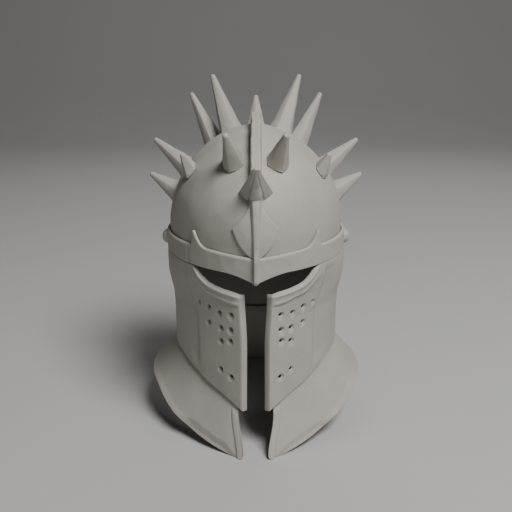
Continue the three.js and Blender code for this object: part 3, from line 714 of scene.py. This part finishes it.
# Face wall
def slit_half(height):
    middle = mix(SEAM_HEIGHT, BAND_LOW, 0.25)
    high = mix(SLIT_MIDDLE, SLIT_TOP, ease(middle, BAND_LOW - EYE_HEIGHT, height))
    low = mix(SLIT_MIDDLE, SLIT_LOW, ease(middle, SEAM_HEIGHT / 2, height))
    return np.where(height > middle, high, low)


def wall_turns(share, turn, height):
    """Turns of the wall's columns: some follow the slit's edge, the rest stay at their own turn."""
    half = wall_section(height)[0]
    near = np.arcsin((slit_half(height) + np.minimum(share, 1) * SLIT_TURN_WIDTH) / half)
    blend = np.clip(share - 1, 0, 1)
    return np.where(share <= 1, near, mix(near, turn, blend))


def wall_levels(turn, row):
    top = eye_edge_at(turn)
    edge = LIP_WIDTH + WELT_WIDTH + WELT_FOOT
    low = mix(seam_at(turn), top - edge, np.minimum(row, 1))
    return np.where(row <= 1, low, top - edge * (2 - row))


def wall_relief(share, turn, under, over):
    near_eye = 1 - ease(EYE_CORNER - 0.08, EYE_CORNER + 0.03, np.abs(np.sin(turn)))
    near_eye = np.where(np.abs(turn) < math.pi / 2, near_eye, 0)
    lip = -LIP_TURN * (1 - ease(0, LIP_WIDTH, under))
    across = np.degrees(turn)
    wave = WELT_WAVE * (noise(np.stack([across, 0 * across, 0 * across], axis=-1), 8, 65) - 0.5)
    beyond = ease(LIP_WIDTH + WELT_WIDTH + wave, LIP_WIDTH + WELT_WIDTH + WELT_FOOT + wave, under)
    welt = WELT_RISE * ease(0, 1.5 * LIP_WIDTH, under) * (1 - beyond)
    hollow = -WELT_HOLLOW * ease(0.5, 0.1, np.abs(under - LIP_WIDTH - 0.5 * WELT_WIDTH) / WELT_WIDTH)
    fall = WALL_TOP - (under + eye_edge_drop(turn))
    at = mix(CREASE_TURN_LOW, CREASE_TURN_HIGH, ease(BAND_LOW - 58, BAND_LOW - 8, fall))
    past = np.abs(np.degrees(turn)) - at
    near = np.where(past < 0, 1 + past / CREASE_DROP, 1 - past / CREASE_RISE)
    begin = np.where(near_eye > 0.5, WELT_WIDTH + WELT_FOOT, 3)
    crease = -CREASE_DEPTH * np.maximum(0, near) ** CREASE_CURVE * ease(begin - 2, begin + 9, under)
    crease = crease * ease(0.5 * COLLAR_LAP, 2.5 * COLLAR_LAP, over)
    tuck = -WALL_TUCK * ease(7, 0, under)
    beside_slit = ease(0.9, 1.8, share)
    return near_eye * (lip + beside_slit * (welt + hollow)) + (1 - near_eye) * tuck + crease


def wall_padding(turn, height):
    """Fills the step under the skull's edge at the back, so that the inside is smooth there."""
    edge = BAND_LOW - SKULL_LAP
    behind = ease(*PAD_TURNS, np.degrees(np.abs(turn)))
    fill = (WALL_LAP - SEAT_GAP) * ease(edge - PAD_FADE, edge - 2, height)
    return fill * (height < edge - GAP) * behind


def make_face_wall():
    strip = np.append(np.linspace(0, 1, 15), (1.33, 1.67))
    fixed = np.concatenate([np.linspace(13, 62, 84), np.linspace(62, 180, 50)[1:-1]])
    share = np.append(strip, np.full(len(fixed), 2.0))[:, None]
    turn = np.radians(np.append(np.full(len(strip), fixed[0]), fixed))[:, None]
    row = np.concatenate([np.linspace(0, 1, 92), 2 - np.linspace(1, 0, 27)[1:]])[None, :]
    height = wall_levels(np.where(share < 2, math.radians(8), turn), row)
    for _ in range(3):
        turns = wall_turns(share, turn, height)
        height = wall_levels(turns, row)
    turn_in = SLIT_TURN_DEPTH * np.maximum(0, 1 - share) ** 1.3
    under, over = eye_edge_at(turns) - height, height - seam_at(turns)
    relief = wall_relief(share, turns, under, over) - turn_in
    section = wall_section(height)
    grids = []
    for side in (1, -1):
        base = plan_point(section, side * turns, height)
        uneven = -unevenness("wall", base)
        outer = plan_point(section, side * turns, height, relief + uneven)
        within = relief - PLATE - wall_padding(turns, height)
        inner = plan_point(section, side * turns, height, within)
        grids.append((outer, inner))
    back_height = wall_levels(np.full((1, 1), math.pi), row)
    back_section = wall_section(back_height)
    back_base = plan_point(back_section, math.pi, back_height)
    back_uneven = -unevenness("wall", back_base)
    back_within = -PLATE - wall_padding(math.pi, back_height)
    back = (
        plan_point(back_section, math.pi, back_height, back_uneven),
        plan_point(back_section, math.pi, back_height, back_within),
    )
    outer, inner = (np.concatenate([grids[0][k], back[k], grids[1][k][::-1]]) for k in (0, 1))
    wall = soften(sheet("fine_face_wall", outer, inner), 0.8)
    return cut(wall, hole_tools())


def lathe(profile, centre, axis, sides):
    """Rings of points of a turned body: profile rows are a radius, a place along the axis and a rise."""
    axis = axis / np.linalg.norm(axis)
    across = np.cross(axis, (0, 0, 1))
    across /= np.linalg.norm(across)
    third = np.cross(across, axis)
    angle = np.linspace(0, 2 * math.pi, sides, endpoint=False)[None, :, None]
    radius, reach, rise = (np.array(profile, float)[:, k][:, None, None] for k in range(3))
    ring = radius * (np.cos(angle) * across + np.sin(angle) * third)
    return centre + axis * reach + third * rise + ring


def hole_tools():
    """One body that drills and dishes all the breath holes."""
    points, faces = [], []
    sides = 40
    for side in (-1, 1):
        for out, fall, size in HOLES:
            height = BAND_LOW * (1 - fall)
            place = [
                plan_point(wall_section(h), side * np.arcsin(o), h)
                for o, h in ((out, height), (out + 0.02, height), (out, height + 2))
            ]
            axis = np.cross(place[1] - place[0], place[2] - place[0])
            axis = axis * np.sign(axis[1]) * -1
            r = HOLE_RADIUS * size
            profile = [(share * r, reach, rise * r) for share, reach, rise in DISH]
            rings = lathe(profile, place[0], axis, sides)
            start = sum(len(p) for p in points)
            body = quads(sides, len(profile), around=True)
            i, j = body // len(profile), body % len(profile)
            faces += (j * sides + i + start).tolist()
            faces.append(list(range(start, start + sides)))
            last = start + (len(profile) - 1) * sides
            faces.append(list(range(last, last + sides)))
            points.append(rings.reshape(-1, 3))
    return make_object("hole_tools", np.concatenate(points), faces)


# Neck collar
def make_neck_collar():
    share = np.concatenate([np.linspace(0, 1, 13), np.linspace(1, 2, 9)[1:-1]])
    fixed = np.radians(np.concatenate([np.linspace(16.5, 75, 66), np.linspace(75, 180, 62)[1:-1]]))
    share = np.concatenate([share, np.full(len(fixed), 2.0)])[:, None]
    turn = np.concatenate([np.full(len(share) - len(fixed), fixed[0]), fixed])[:, None]
    flare = np.concatenate([np.linspace(-1, 0, 5), np.linspace(0, 1, 58)[1:]])[None, :]
    grids = [collar_side(side, share, turn, flare) for side in (1, -1)]
    back = collar_side(1, np.full((1, 1), 2.0), np.full((1, 1), math.pi), flare)
    outer, inner = (np.concatenate([grids[0][k], back[k], grids[1][k][::-1]]) for k in (0, 1))
    return soften(sheet("fine_neck_collar", outer, inner), 0.9)


def collar_side(side, share, turn, flare):
    spread = np.maximum(0, flare)
    flange = np.maximum(0, -flare) * (COLLAR_LAP + GAP)
    edge = mix(COLLAR_EDGE_TOP, COLLAR_EDGE_LOW, ease(0.2, 1, spread))
    edge = edge + np.minimum(share, 1) * COLLAR_WELT_WIDTH
    guess = np.arcsin(edge / mix(SKULL_HALF, RIM[0], spread))
    blend = np.clip(share - 1, 0, 1)
    turns = np.where(share <= 1, guess, mix(guess, turn, blend))
    seam = seam_at(np.maximum(turns, math.radians(11)))
    neck = wall_section(seam - GAP + flange)
    inside = [reach - PLATE - GAP for reach in neck[:3]]
    section = [mix(a, b, spread ** COLLAR_CURVE) for a, b in zip((*inside, neck[3]), RIM)]
    near = np.arcsin(edge / section[0])
    turns = np.where(share <= 1, near, mix(near, turn, blend))
    tip = rounded(share * COLLAR_WELT_WIDTH, COLLAR_TIP_ROUND)
    height = mix(seam - GAP, rim_at(turns) + tip, spread) + flange
    base = plan_point(section, side * turns, height)
    near_rim = ease(1 - RIM_ROLL_WIDTH / (seam - rim_at(turns)), 1, spread)
    across_welt = ease(1, 0.7, share) * (1 - 0.6 * ease(0.35, 0, share))
    welt = COLLAR_WELT_RISE * across_welt * ease(0.05, 0.2, spread)
    to_rim = (1 - spread) * (seam - rim_at(turns))
    front = ease(46, 34, np.degrees(turns))
    lens = ease(48, 34, np.degrees(turns)) * ease(5, 20, np.degrees(turns))
    wide = RIM_FACET_WIDTH * np.maximum(0.05, lens) * (0.8 + 0.4 * noise(base, 16, 75))
    facet = -RIM_FACET * lens * np.clip(1 - to_rim / wide, 0, 1)
    uneven = -unevenness("collar", base)
    roll = RIM_ROLL * near_rim * (1 - front) + facet
    outer = plan_point(section, side * turns, height, roll + welt + uneven)
    inner = plan_point(section, side * turns, height, -PLATE)
    return outer, inner


# Spikes
def direction(polar, turn):
    p, t = math.radians(polar), math.radians(turn)
    return np.array([math.sin(p) * math.sin(t), -math.sin(p) * math.cos(t), math.cos(p)])


def foot_on(polar, turn):
    """Where a ray from the middle of the dome's base leaves the skull."""
    start, ray = np.array([0, 0, DOME_START]), direction(polar, turn)
    low, high = 0.0, SKULL_FRONT + DOME_RISE
    for _ in range(40):
        reach = (low + high) / 2
        if in_skull(start + ray * reach):
            low = reach
        else:
            high = reach
    return start + ray * low


def spike_radius(row, reach, grow):
    """A spike's radius at a reach along its axis, with a flared foot and a round tip."""
    length = SPIKE_LENGTH * row["long"] + grow
    radius = SPIKE_WIDTH * row["wide"] / 2 + grow
    tip = TIP_RADIUS + grow
    end = tip * (1 + (radius - tip) / length)
    body = mix(radius, end, np.clip((reach - 0.1 * length) / (0.9 * length - tip), 0, 1))
    body = body * (1 + row["flare"] * ease(0.14 * length, -0.06 * length, reach))
    round_off = np.sqrt(np.clip(1 - (np.maximum(0, reach - (length - tip)) / tip) ** 2, 0, 1))
    return body * round_off


def spike_point(row, side, angle, reach, share, grow):
    lean = direction(row["lean_polar"], side * row["lean_turn"])
    across = np.cross(lean, (0, 0, 1))
    across /= np.linalg.norm(across)
    third = np.cross(across, lean)
    foot = foot_on(row["polar"], row["turn"]) * (side, 1, 1)
    corners = np.append(row["corners"], row["corners"][0] + 2 * math.pi)
    turned = corners[0] + np.mod(angle - corners[0], 2 * math.pi)
    after = np.clip(np.searchsorted(corners, turned, side="right"), 1, len(corners) - 1)
    start, end = corners[after - 1], corners[after]
    flat = np.cos((end - start) / 2) / np.cos(turned - (start + end) / 2)
    length = SPIKE_LENGTH * row["long"]
    near_foot = mix(0.8, 1, ease(-0.04, 0.16, reach / length))
    crisp = row["facet"] * ease(0, 0.3, 1 - reach / length) * near_foot
    radius = share * spike_radius(row, reach, grow) * mix(1, flat, crisp)
    if row["groove"] and not grow:
        from_groove = np.degrees(turned) - row["groove"] - GROOVE_TWIST * reach / length
        window = ease(0.05, 0.15, reach / length) * ease(0.66, 0.4, reach / length)
        radius = radius * (1 - GROOVE_DEPTH * window * np.exp(-((from_groove / GROOVE_WIDTH) ** 2)))
    ring = side * np.sin(angle)[..., None] * across
    ring = ring + np.cos(angle)[..., None] * third * (row["deep"] / row["wide"])
    return foot + lean * np.asarray(reach)[..., None] + radius[..., None] * ring


def spike_body(name, row, side, grow=0.0, sunk=False):
    """A spike. Its foot follows the skull, or goes deep into it where the spike is a cutting tool."""
    length = SPIKE_LENGTH * row["long"] + grow
    count = 96
    angle = np.linspace(0, 2 * math.pi, count, endpoint=False)[None, :]
    root = -SPIKE_WIDTH * row["wide"]
    shares = np.repeat([[0.0], [0.35], [0.7], [1.0]], count, axis=1)
    low, high = np.full(shares.shape, root), np.full(shares.shape, 0.6 * length)
    if not sunk:
        for _ in range(30):
            middle = (low + high) / 2
            points = spike_point(row, side, angle, middle, shares, grow)
            inside = in_skull(points, SEAT_GAP)
            low, high = np.where(inside, middle, low), np.where(inside, high, middle)
    foot = low[-1:]
    end = 2.2 * TIP_RADIUS / length
    steps = np.concatenate([
        np.linspace(0, 1 - end, 74)[:-1],
        1 - end * np.cos(np.linspace(0, math.pi / 2, 12)),
    ])[:, None]
    reach = mix(foot, length, steps)
    body = spike_point(row, side, angle, reach, 1.0, grow)
    if grow == 0:
        body = roughen(row, side, body, steps, angle)
    cover = spike_point(row, side, angle, low[:-1], shares[:-1], grow)
    return tube(name, np.concatenate([cover, body], axis=0))


def roughen(row, side, body, steps, angle):
    """Hand-filed unevenness: a wavering surface, and burrs where the foot is set."""
    axis = body.mean(axis=1, keepdims=True)
    ray = body - axis
    seed = int(row["turn"] * 7 + row["polar"]) + (3 if side > 0 else 0)
    waver = 0.07 * (noise(body, 12, seed) - 0.6) + 0.025 * (noise(body, 4, seed + 1) - 0.5)
    burr = 0.16 * ease(0.1, 0, steps) * (noise(body, 6, seed + 2) - 0.35)
    foot_only = ease(0, 0.03, steps)
    return axis + ray * (1 + (waver + burr) * foot_only * ease(1, 0.9, steps))[..., None]


# Rivets
def make_rivet(label, side):
    sides = 64
    angle = np.linspace(0, 2 * math.pi, sides, endpoint=False)[None, :]
    dome = np.linspace(0, math.pi / 2, 26)
    share = np.concatenate([np.linspace(0.05, 1, 4), np.cos(dome)])[:, None]
    rise = np.concatenate([np.zeros(4), np.sin(dome) ** 0.9])[:, None]
    share[-1] = 0.002
    bulge = 1 - 0.12 * rise * (1 - rise)
    y = -RIVET_FORWARD + RIVET_RADIUS * share * bulge * np.cos(angle)
    z = (BAND_LOW + BAND_HIGH) / 2 + RIVET_RADIUS * share * bulge * np.sin(angle)
    grow = WRAP_GAP + STRAP_THICK - 0.2
    reach = 1 - (y / (np.where(y < 0, SKULL_FRONT, SKULL_BACK) + grow)) ** 2
    x = (SKULL_HALF + grow) * reach ** (1 / np.where(y < 0, BROW_KEEL, 2.0))
    lift = (RIVET_RISE + 0.1) * rise
    out = x * (1 - rise) + (SKULL_HALF + grow) * rise + lift
    points = np.stack([side * out, y, z], axis=-1)
    points[..., 0] -= side * 0.25 * noise(points, 6, 81)
    return tube(f"fine_rivet_{label}", points)


# Materials
def steel(name, colour, grain, edge):
    """Matt warm grey steel: broad mottling, fine grain, painted shade darkening the hollows and creases,
    and rubbed edges.
    """
    material = bpy.data.materials.new(name)
    material.use_nodes = True
    tree = material.node_tree
    shader = tree.nodes["Principled BSDF"]
    shader.inputs["Metallic"].default_value = 0.08
    shader.inputs["Specular IOR Level"].default_value = 0.32
    place = tree.nodes.new("ShaderNodeTexCoord").outputs["Object"]

    def texture(scale, detail):
        node = tree.nodes.new("ShaderNodeTexNoise")
        node.inputs["Scale"].default_value = scale
        node.inputs["Detail"].default_value = detail
        tree.links.new(place, node.inputs["Vector"])
        return node.outputs["Fac"]

    def spread(value, low, high, to_low, to_high):
        node = tree.nodes.new("ShaderNodeMapRange")
        ends = {"From Min": low, "From Max": high, "To Min": to_low, "To Max": to_high}
        for key, number in ends.items():
            node.inputs[key].default_value = number
        tree.links.new(value, node.inputs["Value"])
        return node.outputs["Result"]

    def multiply(a, b):
        node = tree.nodes.new("ShaderNodeMath")
        node.operation = "MULTIPLY"
        tree.links.new(a, node.inputs[0])
        tree.links.new(b, node.inputs[1])
        return node.outputs["Value"]

    broad = texture(BROAD_SCALE, 4)
    speckle = texture(SPECKLE_SCALE, 3)
    fine = texture(FINE_SCALE, 2)
    grains = spread(speckle, 0.25, 0.75, 1 - grain, 1 + grain)
    tone = multiply(spread(broad, 0.3, 0.7, *MOTTLE), grains)
    point = tree.nodes.new("ShaderNodeNewGeometry").outputs["Pointiness"]
    # Painted shade: hollows and creases, where pointiness is low, are darkened
    tone = multiply(tone, spread(point, 0.46, 0.5, PAINTED_HOLLOW_SHADE, 1.0))
    tone = multiply(tone, spread(point, 0.51, 0.56, 1.0, 1.0 + edge))
    tint = tree.nodes.new("ShaderNodeVectorMath")
    tint.operation = "SCALE"
    tint.inputs[0].default_value = colour
    tree.links.new(tone, tint.inputs["Scale"])
    tree.links.new(tint.outputs["Vector"], shader.inputs["Base Color"])
    tree.links.new(spread(broad, 0.3, 0.7, *ROUGHNESS), shader.inputs["Roughness"])
    normal = None
    for height, strength, distance in ((speckle, 0.25, 0.0003), (fine, 0.2, 0.00015)):
        bump = tree.nodes.new("ShaderNodeBump")
        bump.inputs["Strength"].default_value = strength
        bump.inputs["Distance"].default_value = distance
        tree.links.new(height, bump.inputs["Height"])
        if normal:
            tree.links.new(normal, bump.inputs["Normal"])
        normal = bump.outputs["Normal"]
    tree.links.new(normal, shader.inputs["Normal"])
    return material


PLATE_STEEL = steel("plate_steel", (0.45, 0.418, 0.38), 0.05, 0.12)
TRIM_STEEL = steel("trim_steel", (0.46, 0.428, 0.39), 0.04, 0.16)
SPIKE_STEEL = steel("spike_steel", (0.44, 0.409, 0.372), 0.04, 0.14)


def dress(piece, node, material, sharp=38):
    """Puts a finished piece in a node's place."""
    piece.data.materials.clear()
    piece.data.materials.append(material)
    piece.data.shade_smooth()
    piece.data.set_sharp_from_angle(angle=math.radians(sharp))
    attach(piece, "root")
    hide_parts(node)


# Camera first, then the pieces
camera_data = bpy.data.cameras.new("camera")
camera_data.lens = LENS
camera_data.sensor_width = SENSOR
camera_data.shift_x = CAMERA_SHIFT / IMAGE_SIZE
camera = bpy.data.objects.new("camera", camera_data)
camera.location = (0, (SHIFT_Y - CAMERA_BACK) * MM, CAMERA_HEIGHT * MM)
camera.rotation_euler = (math.radians(90 - CAMERA_TILT), 0, 0)
bpy.context.scene.collection.objects.link(camera)
bpy.context.scene.camera = camera

dress(make_skull(), "skull", PLATE_STEEL)
dress(make_face_wall(), "face_wall", PLATE_STEEL)
dress(make_neck_collar(), "neck_collar", PLATE_STEEL)
dress(make_brow_plate(), "brow_plate", TRIM_STEEL)
dress(make_temple_band(), "temple_band", TRIM_STEEL)
dress(make_leaf_plate(), "leaf_plate", TRIM_STEEL)
dress(make_front_rib(), "front_rib", TRIM_STEEL)
dress(make_comb(), "comb", TRIM_STEEL)
for label, side in (("left", -1), ("right", 1)):
    dress(make_rivet(label, side), f"rivet_{label}", TRIM_STEEL)
    for name, row in PAIRED_SPIKES.items():
        node = f"spike_{name}_{label}"
        dress(spike_body(f"fine_{node}", row, side), node, SPIKE_STEEL)
for name, row in (("front", FRONT_SPIKE), ("rear", REAR_SPIKE)):
    node = f"spike_{name}_middle"
    dress(spike_body(f"fine_{node}", row, 1), node, SPIKE_STEEL)


# Stage and lights
def make_stage():
    """A pale floor that curves up into a pale backdrop."""
    half, front, back, bend, top = 6.0, -4.0, 2.2, 1.6, 6.0
    arc = np.linspace(0, math.pi / 2, 24)
    curve = [(back + bend * math.sin(a), bend * (1 - math.cos(a))) for a in arc]
    profile = [(front, 0.0), *curve, (back + bend, top)]
    points = [(x, y, z) for y, z in profile for x in (-half, half)]
    faces = [(2 * i, 2 * i + 1, 2 * i + 3, 2 * i + 2) for i in range(len(profile) - 1)]
    mesh = bpy.data.meshes.new("studio_floor")
    mesh.from_pydata(points, [], faces)
    mesh.shade_smooth()
    floor = bpy.data.objects.new("studio_floor", mesh)
    bpy.context.scene.collection.objects.link(floor)
    material = bpy.data.materials.new("pale_floor")
    material.use_nodes = True
    shader = material.node_tree.nodes["Principled BSDF"]
    shader.inputs["Base Color"].default_value = FLOOR_TONE
    shader.inputs["Roughness"].default_value = 0.9
    mesh.materials.append(material)


def make_light(name, place, size, power):
    data = bpy.data.lights.new(name, "AREA")
    data.shape = "DISK"
    data.size = size
    data.energy = power
    lamp = bpy.data.objects.new(name, data)
    lamp.location = place
    aim = np.array(LIGHTS_AIM) - np.array(place)
    polar = math.acos(-aim[2] / np.linalg.norm(aim))
    lamp.rotation_euler = (polar, 0, math.atan2(aim[1], aim[0]) - math.pi / 2)
    bpy.context.scene.collection.objects.link(lamp)


make_stage()
for name, row in LIGHTS.items():
    make_light(name, row["place"], row["size"], row["power"])
world = bpy.data.worlds.new("studio")
world.use_nodes = True
background = world.node_tree.nodes["Background"]
background.inputs["Color"].default_value = WORLD_TONE
background.inputs["Strength"].default_value = WORLD_STRENGTH
bpy.context.scene.world = world
